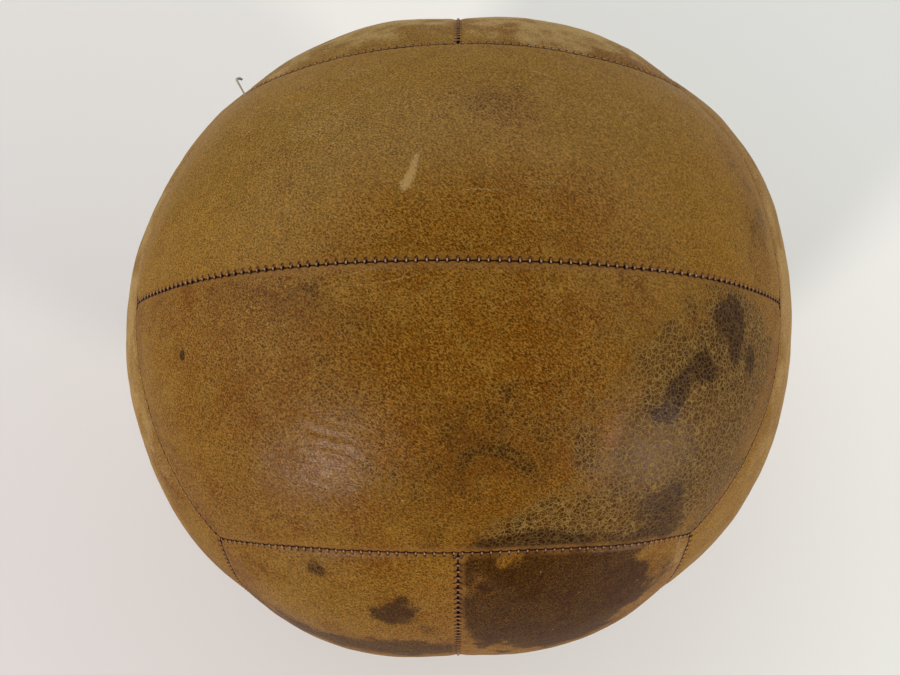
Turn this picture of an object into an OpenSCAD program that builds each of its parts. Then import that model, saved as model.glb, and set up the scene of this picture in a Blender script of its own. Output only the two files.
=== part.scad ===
// Leather medicine ball: a hand-stitched cover of twelve equal panels over a stuffed linen bag.
// The panels lie in six pairs, like the faces of a cube. Each pair is split by a middle seam, and the
// middle seams of neighbouring pairs run at right angles to each other.
// Frame: +Z up, X along the middle seam of the top pair, origin at the centre of the resting flat.
// Millimetres.

/* [Ball] */
// Outer diameter of the ball
ball_d = 300; // [240:5:360]
// How far the ball has settled on the surface that it rests on
settle = 3.5; // [1:0.5:8]

/* [Leather cover] */
// Thickness of the leather
leather_t = 2.4; // [1.8:0.1:3.2]
// How far the turned-in seam allowance reaches below the outer face
allowance_depth = 7; // [5:0.5:12]
// Gap between the two allowances of a seam
seam_gap = 0.3; // [0.2:0.1:1]

/* [Seam grooves] */
// Width of the groove between the rims of two panels
groove_w = 2.6; // [2:0.1:4]
// Depth of the groove
groove_depth = 1.4; // [1.2:0.1:1.6]

/* [Stitching] */
// Diameter of the waxed thread
thread_d = 0.6; // [0.4:0.1:0.6]
// Distance from one stitch to the next
stitch_pitch = 3; // [2.5:0.1:6]
// Radius of the curl in the loose thread end
tail_curl_r = 4; // [3:0.5:6]

/* [Inner bag and stuffing] */
// Thickness of the linen bag
bag_t = 1.2; // [0.8:0.1:2]
// Gap between the two sewn halves of the bag, which holds the bag's own thread
bag_seam_gap = 1.2; // [1:0.1:2]
// Clearance between one layer and the next
layer_gap = 0.4; // [0.2:0.1:1]

/* [Hidden] */
$fn = 120;
seam_fn = 360;
thread_fn = 24;

ball_r = ball_d / 2;
centre_h = ball_r - settle;
reach = 2 * ball_d;

// A cube's corner lies at the same latitude, as seen from each of its three faces' middle planes.
edge_lat = asin(1 / sqrt(3));
face_half_angle = 90 - edge_lat;
edge_half_angle = 45;

// The running thread lies on the groove's floor and the stitches cross just over it.
thread_gap = 0.03;
run_depth = groove_depth - thread_gap - thread_d / 2;
stitch_depth = run_depth - thread_gap - thread_d;
stitch_l = groove_w - 0.5;
seam_end_gap = 1.1;
first_stitch_gap = 2.2;
tail_turn = 110;

bag_r = ball_r - allowance_depth - layer_gap;
stuffing_r = bag_r - bag_t - layer_gap;

leather_colour = "#8d6634";
thread_colour = "#a58a63";
linen_colour = "#cbbd9c";
hair_colour = "#4a3a2c";

// Which pair of faces a piece belongs to: 0 is top and bottom, 1 is right and left, 2 is rear and front.
// A row is [name, pair, side of the pair, side of the middle seam].
PANELS = [
    ["top_rear_panel", 0, 1, 1],
    ["top_front_panel", 0, 1, -1],
    ["bottom_rear_panel", 0, -1, 1],
    ["bottom_front_panel", 0, -1, -1],
    ["right_upper_panel", 1, 1, 1],
    ["right_lower_panel", 1, 1, -1],
    ["left_upper_panel", 1, -1, 1],
    ["left_lower_panel", 1, -1, -1],
    ["rear_right_panel", 2, 1, 1],
    ["rear_left_panel", 2, 1, -1],
    ["front_right_panel", 2, -1, 1],
    ["front_left_panel", 2, -1, -1],
];

// A row is [name, pair, side of the pair].
MIDDLE_SEAMS = [
    ["top_middle_stitching", 0, 1],
    ["bottom_middle_stitching", 0, -1],
    ["right_middle_stitching", 1, 1],
    ["left_middle_stitching", 1, -1],
    ["rear_middle_stitching", 2, 1],
    ["front_middle_stitching", 2, -1],
];

// A row is [name, pair, side of the pair, side of the middle seam].
EDGE_SEAMS = [
    ["top_rear_stitching", 0, 1, 1],
    ["top_front_stitching", 0, 1, -1],
    ["bottom_rear_stitching", 0, -1, 1],
    ["bottom_front_stitching", 0, -1, -1],
    ["top_right_stitching", 1, 1, 1],
    ["bottom_right_stitching", 1, 1, -1],
    ["top_left_stitching", 1, -1, 1],
    ["bottom_left_stitching", 1, -1, -1],
    ["rear_right_stitching", 2, 1, 1],
    ["rear_left_stitching", 2, 1, -1],
    ["front_right_stitching", 2, -1, 1],
    ["front_left_stitching", 2, -1, -1],
];

function is_bottom(row) = row[1] == 0 && row[2] < 0;

// The settled flat cuts the ball at this distance from its centre, for a layer of radius r.
function flat_h(r) = r - settle;

// Where the flat of a layer of radius r ends, as an angle at the ball's centre.
function flat_half_angle(r) = acos(flat_h(r) / r);

// Carries a piece made for the top rear place to another place of the same kind.
module place(pair, side, half = 1) {
    translate([0, 0, centre_h])
        rotate([90 * min(pair, 1), 0, 90 * min(pair, 1)])
            rotate([90 * max(pair - 1, 0), 0, 90 * max(pair - 1, 0)])
                mirror([0, 0, side < 0 ? 1 : 0])
                    mirror([0, half < 0 ? 1 : 0, 0])
                        children();
}

// A ball about the origin, with its +Z side cut flat where the piece lies under the ball.
module layer(r, flat) {
    if (flat)
        intersection() {
            sphere(r);
            translate([-r, -r, -r])
                cube([2 * r, 2 * r, r + flat_h(r)]);
        }
    else
        sphere(r);
}

// The space over one face pair: a cone that opens from the ball's centre, its wall moved outwards by grow.
module face_cone(grow) {
    low = 0.4 * ball_r;
    high = 1.1 * ball_r;
    shift = grow / cos(face_half_angle);
    translate([0, 0, low])
        cylinder(
            h = high - low,
            r1 = low * tan(face_half_angle) + shift,
            r2 = high * tan(face_half_angle) + shift
        );
}

// Everything between a panel's four seam walls, with each wall moved in by inset.
module panel_space(inset) {
    difference() {
        intersection() {
            face_cone(-inset);
            translate([-reach, inset, 0])
                cube([2 * reach, reach, reach]);
        }
        rotate([-90, 0, 0])
            face_cone(inset);
    }
}

// What the seam grooves take off a panel's rims, all the way round it.
module rim_cut(flat) {
    difference() {
        translate([-reach, -reach, 0.3 * ball_r])
            cube([2 * reach, 2 * reach, reach]);
        layer(ball_r - groove_depth, flat);
        panel_space(groove_w / 2);
    }
}

// One leather panel with its allowances turned in along all four seams.
module leather_panel(row) {
    flat = is_bottom(row);
    color(leather_colour)
        place(row[1], row[2], row[3])
            difference() {
                intersection() {
                    layer(ball_r, flat);
                    panel_space(seam_gap / 2);
                }
                intersection() {
                    layer(ball_r - leather_t, flat);
                    panel_space(seam_gap / 2 + leather_t);
                }
                layer(ball_r - allowance_depth, flat);
                rim_cut(flat);
            }
}

// Stitches across a seam, evenly spaced between its two ends.
module stitches(lat, half_angle, flat) {
    r = ball_r - stitch_depth;
    free_l = 2 * half_angle * PI / 180 * ball_r * cos(lat) - 2 * first_stitch_gap;
    count = round(free_l / stitch_pitch);
    first = half_angle * free_l / (free_l + 2 * first_stitch_gap);
    for (i = [0:count]) {
        angle = first * (2 * i / count - 1);
        out = flat ? min(r, flat_h(r) / cos(angle)) : r;
        rotate([0, angle, 0])
            rotate([-lat, 0, 0])
                translate([0, 0, out])
                    rotate([90, 0, 0])
                        cylinder(h = stitch_l, d = thread_d, center = true, $fn = thread_fn);
    }
}

// A stretch of thread lying along a seam, between two angles from the seam's middle.
module thread_arc(r, lat, from, to) {
    rotate([-90, 0, 0])
        rotate([0, 0, from - 90])
            rotate_extrude(angle = to - from, $fn = seam_fn)
                translate([r * cos(lat), r * sin(lat)])
                    circle(d = thread_d, $fn = thread_fn);
}

// The thread's straight stretch across the flat, just clear of the curved stretches on both sides.
module flat_run(r) {
    translate([0, 0, flat_h(r)])
        rotate([0, 90, 0])
            cylinder(
                h = 2 * r * sin(flat_half_angle(r)) - thread_d,
                d = thread_d,
                center = true,
                $fn = thread_fn
            );
}

// The sewing of one seam: the running thread in the groove, and the stitches that cross it.
module stitching(lat, half_angle, flat = false) {
    r = ball_r - run_depth;
    end = half_angle - seam_end_gap / (r * cos(lat)) * 180 / PI;
    color(thread_colour) {
        stitches(lat, half_angle, flat);
        if (flat) {
            bend = flat_half_angle(r);
            for (side = [0, 1])
                mirror([side, 0, 0])
                    thread_arc(r, lat, bend, end);
            flat_run(r);
        } else {
            thread_arc(r, lat, -end, end);
        }
    }
}

module middle_stitching(row) {
    place(row[1], row[2])
        stitching(0, face_half_angle, is_bottom(row));
}

module edge_stitching(row) {
    place(row[1], row[2], row[3])
        stitching(edge_lat, edge_half_angle);
}

// The end of the sewing thread, left standing out of the corner where three seams meet.
module loose_thread_end() {
    color(thread_colour)
        translate([0, 0, centre_h])
            rotate([0, 0, 135])
                rotate([0, face_half_angle, 0])
                    translate([tail_curl_r, 0, ball_r - 0.3])
                        rotate([90, 0, 0])
                            rotate([0, 0, 180 - tail_turn])
                                rotate_extrude(angle = tail_turn, $fn = seam_fn)
                                    translate([tail_curl_r, 0])
                                        circle(d = thread_d, $fn = thread_fn);
}

// Half of the linen bag that holds the stuffing.
module linen_bag_half(side) {
    color(linen_colour)
        translate([0, 0, centre_h])
            mirror([side < 0 ? 1 : 0, 0, 0])
                mirror([0, 0, 1])
                    difference() {
                        layer(bag_r, true);
                        layer(bag_r - bag_t, true);
                        translate([-reach, -reach, -reach])
                            cube([reach + bag_seam_gap / 2, 2 * reach, 2 * reach]);
                    }
}

// The bag's own sewing thread, in a ring between its halves, flattened under the ball.
module linen_bag_thread() {
    r = bag_r - bag_t / 2;
    bend = flat_half_angle(r);
    color(thread_colour)
        translate([0, 0, centre_h])
            mirror([0, 0, 1])
                rotate([0, 0, 90]) {
                    thread_arc(r, 0, bend, 360 - bend);
                    flat_run(r);
                }
}

module hair_stuffing() {
    color(hair_colour)
        translate([0, 0, centre_h])
            mirror([0, 0, 1])
                layer(stuffing_r, true);
}

for (row = PANELS)
    leather_panel(row);
for (row = MIDDLE_SEAMS)
    middle_stitching(row);
for (row = EDGE_SEAMS)
    edge_stitching(row);
loose_thread_end();
linen_bag_half(1);  // linen_bag_right
linen_bag_half(-1);  // linen_bag_left
linen_bag_thread();
hair_stuffing();
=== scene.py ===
import math

import bpy
import numpy as np
from mathutils import Matrix, Vector


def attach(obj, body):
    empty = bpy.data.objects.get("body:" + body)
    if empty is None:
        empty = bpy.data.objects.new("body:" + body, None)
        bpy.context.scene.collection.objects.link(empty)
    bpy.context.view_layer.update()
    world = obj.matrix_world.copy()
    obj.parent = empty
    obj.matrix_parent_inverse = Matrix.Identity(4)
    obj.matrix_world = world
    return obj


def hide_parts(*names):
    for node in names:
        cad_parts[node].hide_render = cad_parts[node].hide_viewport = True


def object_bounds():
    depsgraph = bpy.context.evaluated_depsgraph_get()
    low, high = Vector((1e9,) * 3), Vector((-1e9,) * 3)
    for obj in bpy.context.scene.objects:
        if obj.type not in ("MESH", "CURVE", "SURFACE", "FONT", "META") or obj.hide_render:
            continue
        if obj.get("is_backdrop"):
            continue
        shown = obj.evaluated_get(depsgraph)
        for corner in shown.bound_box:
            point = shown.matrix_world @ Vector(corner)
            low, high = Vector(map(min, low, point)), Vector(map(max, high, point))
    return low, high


# A leather medicine ball: twelve stitched panels over a linen bag packed with hair.

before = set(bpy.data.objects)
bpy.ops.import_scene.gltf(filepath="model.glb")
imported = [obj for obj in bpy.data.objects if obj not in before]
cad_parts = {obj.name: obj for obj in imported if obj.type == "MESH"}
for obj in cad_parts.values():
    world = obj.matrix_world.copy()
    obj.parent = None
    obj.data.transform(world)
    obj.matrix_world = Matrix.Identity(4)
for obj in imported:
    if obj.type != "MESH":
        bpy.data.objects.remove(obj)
cad_low, cad_high = (list(corner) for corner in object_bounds())

MM = 0.001

# ---- Sizes taken from the frame, in millimetres ----

RADIUS = (cad_high[0] - cad_low[0]) / 2 / MM
CENTRE_H = cad_high[2] / MM - RADIUS
CENTRE = np.array([0, 0, CENTRE_H])

# ---- The seam pattern ----

# A face pair reaches this far from its middle seam, and its middle seam this far from its centre.
EDGE_LAT = math.asin(1 / math.sqrt(3))
FACE_HALF = math.pi / 2 - EDGE_LAT
EDGE_HALF = math.pi / 4

# name: which pair (0 top and bottom, 1 right and left, 2 rear and front), side of the pair, side of the seam
PANELS = {
    "top_rear_panel": (0, 1, 1),
    "top_front_panel": (0, 1, -1),
    "bottom_rear_panel": (0, -1, 1),
    "bottom_front_panel": (0, -1, -1),
    "right_upper_panel": (1, 1, 1),
    "right_lower_panel": (1, 1, -1),
    "left_upper_panel": (1, -1, 1),
    "left_lower_panel": (1, -1, -1),
    "rear_right_panel": (2, 1, 1),
    "rear_left_panel": (2, 1, -1),
    "front_right_panel": (2, -1, 1),
    "front_left_panel": (2, -1, -1),
}

# name: pair, side of the pair, side of the seam (0 is the pair's own middle seam)
SEAMS = {
    "top_middle_stitching": (0, 1, 0),
    "bottom_middle_stitching": (0, -1, 0),
    "right_middle_stitching": (1, 1, 0),
    "left_middle_stitching": (1, -1, 0),
    "rear_middle_stitching": (2, 1, 0),
    "front_middle_stitching": (2, -1, 0),
    "top_rear_stitching": (0, 1, 1),
    "top_front_stitching": (0, 1, -1),
    "bottom_rear_stitching": (0, -1, 1),
    "bottom_front_stitching": (0, -1, -1),
    "top_right_stitching": (1, 1, 1),
    "bottom_right_stitching": (1, 1, -1),
    "top_left_stitching": (1, -1, 1),
    "bottom_left_stitching": (1, -1, -1),
    "rear_right_stitching": (2, 1, 1),
    "rear_left_stitching": (2, 1, -1),
    "front_right_stitching": (2, -1, 1),
    "front_left_stitching": (2, -1, -1),
}

# ---- Sewing and leather, in millimetres ----

STITCH_PITCH = 3.0
FIRST_STITCH = 2.2  # from the end of its seam
THREAD_R = 0.27
SEAM_GAP = 0.3  # between two allowances
LEATHER_T = 2.4
ALLOWANCE = 7.0  # how deep the turned-in edges reach


def place_matrix(pair, side, half):
    """The rotation that carries the top rear place to another place of the same kind."""
    m = np.diag([1.0, half, side])
    turn = np.array([[0, 0, 1], [1, 0, 0], [0, 1, 0]], float)
    for _ in range(pair):
        m = turn @ m
    return m


def stitch_count(half_angle, lat):
    """How many stitch pitches a seam has between its first stitch and its last."""
    free = 2 * half_angle * RADIUS * math.cos(lat) - 2 * FIRST_STITCH
    return round(free / STITCH_PITCH)


def first_stitch_angle(half_angle, lat):
    """The first stitch's angle from the seam's middle."""
    return half_angle - FIRST_STITCH / (RADIUS * math.cos(lat))


MID_COUNT = stitch_count(FACE_HALF, 0)
EDGE_COUNT = stitch_count(EDGE_HALF, EDGE_LAT)
MID_FIRST = first_stitch_angle(FACE_HALF, 0)
EDGE_FIRST = first_stitch_angle(EDGE_HALF, EDGE_LAT)


# ---- Smooth random fields ----


LATTICE_KEYS = np.array([73856093, 19349663, 83492791])


def lattice_noise(points, size, seed):
    """Smooth noise from -1 to 1 over points (n, 3), with features about size across."""
    table = np.random.default_rng(seed).uniform(-1, 1, 4096)
    q = points / size + 37.0
    cell = np.floor(q).astype(np.int64)
    f = q - cell
    f = f * f * f * (f * (f * 6 - 15) + 10)
    total = np.zeros(len(points))
    for corner in range(8):
        step = np.array([corner & 1, corner >> 1 & 1, corner >> 2 & 1])
        key = (cell + step) @ LATTICE_KEYS
        weight = np.prod(np.where(step, f, 1 - f), axis=1)
        total += weight * table[(key ^ key >> 13) & 4095]
    return total


def fractal(points, size, seed):
    """Three layers of noise, each half as large and half as strong as the last."""
    total, gain = np.zeros(len(points)), 1.0
    for k in range(3):
        total += gain * lattice_noise(points, size / 2**k, seed + k)
        gain *= 0.5
    return total


# ---- The ball's shape ----

# Out of round, as shares of the radius. Seen from above it is longer one way than the other, with a hint of
# three corners and of four flats, and it is pressed in on its left front side.
OVAL, OVAL_AT = 0.029, math.radians(21)
THREE_SIDED = 0.006
FOUR_SIDED = 0.0115
PRESSED_IN = 0.026
PRESSED_SIDE = np.array([-0.9, -0.43, 0])


def body_radius(dirs):
    """The cover's radius over each direction, before seams: (n,) from (n, 3)."""
    x, y = dirs[:, 0], dirs[:, 1]
    flatness = np.hypot(x, y)
    azimuth = np.arctan2(y, x)
    swell = (
        OVAL * flatness**2 * np.cos(2 * (azimuth - OVAL_AT))
        + THREE_SIDED * flatness**3 * np.sin(3 * azimuth)
        - FOUR_SIDED * flatness**4 * np.cos(4 * azimuth)
    )
    swell -= PRESSED_IN * np.maximum(dirs @ PRESSED_SIDE, 0) ** 3
    lumps = 0.9 * lattice_noise(dirs * RADIUS, 70, 11) + 0.3 * lattice_noise(dirs * RADIUS, 28, 12)
    return RADIUS * (1 + swell) + lumps


# How gradually the flat under the ball turns into its side.
FLAT_BLEND = 1.1


def settled(points, depth):
    """Flattens the underside on the floor, for points lying depth below the outer face."""
    z = (points[:, 2] - depth) / FLAT_BLEND
    out = points.copy()
    out[:, 2] = depth + FLAT_BLEND * np.where(z > 20, z, np.log1p(np.exp(np.minimum(z, 20))))
    return out


# ---- Panels ----

# The size of a panel's mesh cells, and the closer steps beside its seams.
CELL = 0.6
RIM_STEPS = [0, 0.1, 0.22, 0.36, 0.52, 0.72, 1.0, 1.35, 1.8, 2.35, 3.0]


def rimmed_line(length):
    """Places from 0 to length, closer together near both ends."""
    rims = np.array(RIM_STEPS)
    inner = np.linspace(rims[-1], length - rims[-1], round((length - 2 * rims[-1]) / CELL) + 1)
    return np.concatenate([rims, inner[1:-1], length - rims[::-1]])


def panel_angles(u, v, inset):
    """Latitude and longitude over the top rear place, with its edges moved in by inset."""
    step = inset / RADIUS
    lat = step + v * (EDGE_LAT - 2 * step)
    half = np.arccos(np.cos(FACE_HALF - step) / np.cos(lat))
    return lat, u * half


def direction(lat, lon):
    """The direction at a latitude and longitude, with the middle seam as the equator."""
    return np.stack([np.cos(lat) * np.sin(lon), np.sin(lat), np.cos(lat) * np.cos(lon)], axis=-1)


def seam_distances(local):
    """Distances along the face from the middle, side and end seams, and places along them in stitches."""
    lat = np.arcsin(np.clip(local[:, 1], -1, 1))
    lon = np.arctan2(local[:, 0], local[:, 2])
    from_axis = np.arccos(np.clip(local[:, 2], -1, 1))
    around = np.arctan2(local[:, 1], np.abs(local[:, 0]))
    away = RADIUS * np.stack([lat, EDGE_LAT - lat, FACE_HALF - from_axis], axis=1)
    along = np.stack(
        [
            (lon / MID_FIRST + 1) / 2 * MID_COUNT,
            (lon / EDGE_FIRST + 1) / 2 * EDGE_COUNT,
            (around / EDGE_FIRST + 1) / 2 * EDGE_COUNT,
        ],
        axis=1,
    )
    return np.maximum(away, 0), along


def rounded_rim(away, radius):
    """How far the leather drops as it rolls into the seams."""
    short = np.maximum(radius - away, 0)
    return radius - np.sqrt(np.maximum(radius**2 - (short**2).sum(axis=1), 0))


# Beside a seam: the rolled rim's radius, the valley's and the wide sag's depth and width, and how far from a
# seam the crown begins.
ROLL = 0.6
VALLEY, VALLEY_W = 0.45, 2.4
SAG, SAG_W = 0.8, 15
CROWN_W = 26

# Each stitch pulls a notch into the rim and a dimple beside it, and has a needle hole further out.
STITCH_W = 0.45
NOTCH = 0.34
DIMPLE, DIMPLE_W = 0.12, 1.5
HOLE_AT, HOLE_DEPTH, HOLE_W = 0.95, 0.3, 0.4


def surface_drop(name, local, points):
    """How far the outer face lies below the body radius, in a panel."""
    away, along = seam_distances(local)
    beside = (along - np.round(along)) * STITCH_PITCH
    at_stitch = np.exp(-((beside / STITCH_W) ** 2))
    drop = rounded_rim(np.maximum(away - NOTCH * at_stitch, 0), ROLL)
    drop += (VALLEY * np.exp(-((away / VALLEY_W) ** 2))).sum(axis=1)
    drop += (DIMPLE * at_stitch * np.exp(-((away / DIMPLE_W) ** 2))).sum(axis=1)
    holes = HOLE_DEPTH * np.exp(-(beside**2 + (away - HOLE_AT) ** 2) / HOLE_W**2)
    drop += (holes * np.array(hole_sides(name))).sum(axis=1)
    nearest = away.min(axis=1)
    drop += SAG * np.exp(-((nearest / SAG_W) ** 2))
    drop -= CHARACTER.get(name, PLAIN)["crown"] * (1 - np.exp(-((nearest / CROWN_W) ** 2)))
    drop += 0.12 * lattice_noise(points, 9, 21) + 0.05 * lattice_noise(points, 3.2, 22)
    if name == "top_front_panel":
        drop -= wrinkles(local)
    return drop


def hole_sides(name):
    """Whether the needle holes show along a panel's middle, side and end seams."""
    pair, _, half = PANELS[name]
    return (1.0 if half > 0 or pair == 2 else 0.0, 0.0, 1.0)


# The patch of wrinkles: its place along and across the top front panel, its half length and half width.
WRINKLES_AT = (-43, 55)
WRINKLES_SIZE = (20, 12)
WRINKLE_SLANT = math.radians(26)
WRINKLE_SPACING = 4.4
WRINKLE_HEIGHT = 0.075


def wrinkles(local):
    """A patch of shallow wrinkles, side by side and slightly bent."""
    along = RADIUS * np.arctan2(local[:, 0], local[:, 2]) - WRINKLES_AT[0]
    across = RADIUS * np.arcsin(local[:, 1]) - WRINKLES_AT[1]
    c, s = math.cos(WRINKLE_SLANT), math.sin(WRINKLE_SLANT)
    down = across * c - along * s
    by = along * c + across * s
    bent = down + 1.6 * np.sin(by / 9 + 0.5) + 0.8 * np.sin(by / 4.1 + down / 6)
    fade = np.exp(-((by / WRINKLES_SIZE[0]) ** 2) - (down / WRINKLES_SIZE[1]) ** 2)
    uneven = 1 + 0.6 * np.sin(by / 7 - down / 3)
    return WRINKLE_HEIGHT * fade * np.sin(bent * 2 * math.pi / WRINKLE_SPACING) * uneven


def grid_faces(rows, columns, start=0):
    """Quads over a grid of rows by columns points."""
    i = np.arange(rows * columns).reshape(rows, columns) + start
    return np.stack([i[:-1, :-1], i[:-1, 1:], i[1:, 1:], i[1:, :-1]], axis=-1).reshape(-1, 4)


def border(rows, columns):
    """The four sides of a grid, each as indices in order round it."""
    i = np.arange(rows * columns).reshape(rows, columns)
    return [i[0, :], i[:, -1], i[-1, ::-1], i[::-1, 0]]


def zip_sides(fine, coarse):
    """Triangles between two rows of points that run the same way, with different counts."""
    out, a, b = [], 0, 0
    while a < len(fine) - 1 or b < len(coarse) - 1:
        ahead = (a + 1) / (len(fine) - 1) if a < len(fine) - 1 else 9
        beyond = (b + 1) / (len(coarse) - 1) if b < len(coarse) - 1 else 9
        if ahead <= beyond:
            out.append((fine[a + 1], fine[a], coarse[b]))
            a += 1
        else:
            out.append((fine[a], coarse[b], coarse[b + 1]))
            b += 1
    return out


def new_mesh(name, points, faces):
    """An object in metres from points in millimetres and lists of face arrays."""
    mesh = bpy.data.meshes.new(name)
    loops = np.concatenate([f.reshape(-1) for f in faces])
    totals = np.concatenate([np.full(len(f), f.shape[1]) for f in faces])
    mesh.vertices.add(len(points))
    mesh.loops.add(len(loops))
    mesh.polygons.add(len(totals))
    mesh.vertices.foreach_set("co", (points * MM).astype(np.float32).reshape(-1))
    mesh.loops.foreach_set("vertex_index", loops.astype(np.int32))
    starts = np.concatenate([[0], np.cumsum(totals)[:-1]])
    mesh.polygons.foreach_set("loop_start", starts.astype(np.int32))
    mesh.polygons.foreach_set("loop_total", totals.astype(np.int32))
    mesh.polygons.foreach_set("use_smooth", np.full(len(totals), True))
    mesh.update(calc_edges=True)
    mesh.validate()
    obj = bpy.data.objects.new(name, mesh)
    bpy.context.scene.collection.objects.link(obj)
    return obj


def add_values(obj, name, kind, values):
    """Stores a vector or a colour on every point, for the material to read."""
    attribute = obj.data.attributes.new(name, kind, "POINT")
    field = "vector" if kind == "FLOAT_VECTOR" else "color"
    attribute.data.foreach_set(field, values.astype(np.float32).reshape(-1))


# ---- Where the leather is worn, stained and crackled, and where sheen and shade are painted on it ----

# Each mark: channel, place along the panel, place across it from the middle seam, half length, half width,
# slant and strength. Lengths are in millimetres and slants in degrees.
MARKS = {
    "top_front_panel": [
        ("dark", 95, 13, 6.5, 8, 0, 1.0),
        ("dark", 97, 21.5, 2, 4, 0, 0.8),
        ("dark", 108, 24, 4, 4, 0, 0.7),
        ("dark", 80, 29, 7, 5, -20, 1.0),
        ("dark", 71.5, 37.5, 3.5, 4.5, 0, 0.9),
        ("dark", 66, 44, 6, 3, 15, 0.7),
        ("dark", 26, 88, 16, 3, 0, 0.9),
        ("dark", 58, 90, 30, 5, 0, 0.5),
        ("dark", 82, 78, 16, 10, 30, 0.5),
        ("dark", 105, 50, 26, 40, 0, 0.3),
        ("dark", -90, 76, 40, 20, 0, 0.15),
        ("dark", -96, 24, 1.6, 2.2, 0, 1.0),
        ("dark", -24, 28, 40, 18, 10, 0.3),
        ("dark", -60, 8, 30, 6, 8, 0.3),
        ("dark", 12, 52, 30, 16, -20, 0.24),
        # painted shade: darkens the lower part of the panel, which faces the front
        ("dark", 0, 74, 70, 24, 0, 0.32),
        ("crackle", 84, 60, 42, 38, -35, 1.3),
        ("crackle", 102, 26, 16, 28, 0, 1.2),
        ("crackle", 70, 40, 24, 16, -35, 0.7),
        ("crackle", 40, 84, 34, 9, 0, 0.9),
        ("olive", -9, 72, 26, 14, 0, 1.0),
        ("olive", 24, 72, 24, 14, 0, 0.9),
        ("olive", 60, 28, 26, 18, 0, 0.6),
        ("pores", 27, 37, 22, 13, -35, 1.0),
        ("pores", 40, 58, 16, 12, -35, 0.6),
        ("pale", -114, 34, 10, 34, 0, 0.4),
        ("red", -20, 30, 60, 34, 0, 1.0),
        ("red", -72, 18, 24, 14, 0, 0.8),
        ("red", 12, 56, 50, 30, -10, 0.8),
        ("red", -85, 50, 25, 25, 0, 0.4),
    ],
    "top_rear_panel": [
        ("pale", -15.5, 24, 2.2, 4, -20, 1.1),
        ("pale", -13.5, 30, 1.6, 4.5, -15, 0.9),
        ("pale", 50, 22, 18, 3, 0, 0.3),
        ("dark", 15, 4, 60, 5, 0, 0.35),
        ("dark", 14, 52, 9, 7, 0, 0.35),
        ("dark", -60, 30, 40, 10, 0, 0.15),
        ("dark", 118, 30, 12, 34, 0, 0.4),
        ("red", 0, 8, 60, 10, 0, 0.9),
        ("red", 20, 22, 44, 12, 0, 0.7),
        ("red", 14, 50, 16, 12, 0, 0.7),
        ("olive", -53, 46, 40, 26, 0, 0.9),
        # painted sheen on the panel's left and right sides, towards its grazing edges
        ("pale", -60, 60, 70, 30, 0, 0.55),
        ("pale", 60, 60, 60, 30, 0, 0.5),
        ("olive", -100, 38, 24, 26, 0, 0.6),
        ("olive", 66, 50, 30, 18, 0, 0.5),
    ],
    "front_left_panel": [
        ("dark", 112, 21, 8, 7, 0, 0.9),
        ("dark", 138, 60, 5, 22, 0, 0.6),
        # painted shade: a dark band across the panel's lower edge
        ("dark", 74, 30, 14, 70, 0, 0.7),
        ("dark", 128, 48, 4, 5, 0, 0.6),
        ("dark", 100, 10, 5, 5, 0, 0.4),
        ("olive", 110, 40, 25, 30, 0, 1.0),
        ("pale", 100, 60, 30, 14, 0, 0.3),
    ],
    "front_right_panel": [
        ("dark", 120, 30, 24, 28, 0, 1.4),
        ("dark", 98, 42, 30, 30, 0, 0.9),
        ("pale", 110, 88, 30, 7, 0, 0.8),
    ],
    "right_upper_panel": [
        # painted sheen over the panel's grazing side
        ("pale", 0, 70, 120, 40, 0, 1.0),
    ],
    "left_upper_panel": [
        # painted sheen over the panel's grazing side
        ("pale", 0, 60, 120, 50, 0, 1.1),
        ("olive", 40, 70, 60, 30, 0, 0.8),
    ],
    "rear_left_panel": [
        # painted sheen over the panel's grazing side
        ("pale", 90, 40, 50, 60, 0, 1.2),
        ("olive", 100, 40, 60, 60, 0, 0.8),
        ("dark", 20, 50, 20, 14, 20, 0.5),
    ],
    "rear_right_panel": [
        # painted sheen over the panel's grazing side
        ("pale", 90, 40, 50, 60, 0, 1.5),
        ("dark", 30, 40, 16, 20, 0, 0.5),
    ],
}
CHANNELS = ("dark", "crackle", "pale", "olive", "red", "pores")

# How far a panel's middle stands out, in millimetres, and how sandy its leather is, from 0 to 1.
# The top rear panel's sandier tone partly stands in for painted sheen, and the top front panel's darker tone
# partly for painted shade.
CHARACTER = {
    "top_rear_panel": {"crown": 1.2, "tone": 0.85},
    "top_front_panel": {"crown": 1.5, "tone": 0.36},
    "front_left_panel": {"crown": 1.4, "tone": 0.3},
    "front_right_panel": {"crown": 1.3, "tone": 0.35},
    "right_upper_panel": {"crown": 1.0, "tone": 0.8},
    "left_upper_panel": {"crown": 1.0, "tone": 0.6},
}
PLAIN = {"crown": 1.2, "tone": 0.5}


def paint_marks(name, local, points, seed):
    """The strength of each kind of mark at each point of a panel: (n, 6)."""
    lat = np.arcsin(np.clip(local[:, 1], -1, 1))
    lon = np.arctan2(local[:, 0], local[:, 2])
    sway = np.stack([fractal(points, 9, seed), fractal(points, 9, seed + 5)], axis=1)
    out = np.zeros((len(points), len(CHANNELS)))
    for channel, along, across, long, wide, slant, strength in MARKS.get(name, scattered_marks(seed)):
        roam = min(long, wide) * 0.45
        dx = RADIUS * lon - along + roam * sway[:, 0]
        dy = RADIUS * lat - across + roam * sway[:, 1]
        c, s = math.cos(math.radians(slant)), math.sin(math.radians(slant))
        far = ((c * dx + s * dy) / long) ** 2 + ((c * dy - s * dx) / wide) ** 2
        spot = strength * np.exp(-far) if channel != "dark" else strength / (1 + far**2)
        out[:, CHANNELS.index(channel)] += spot
    return out


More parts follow.
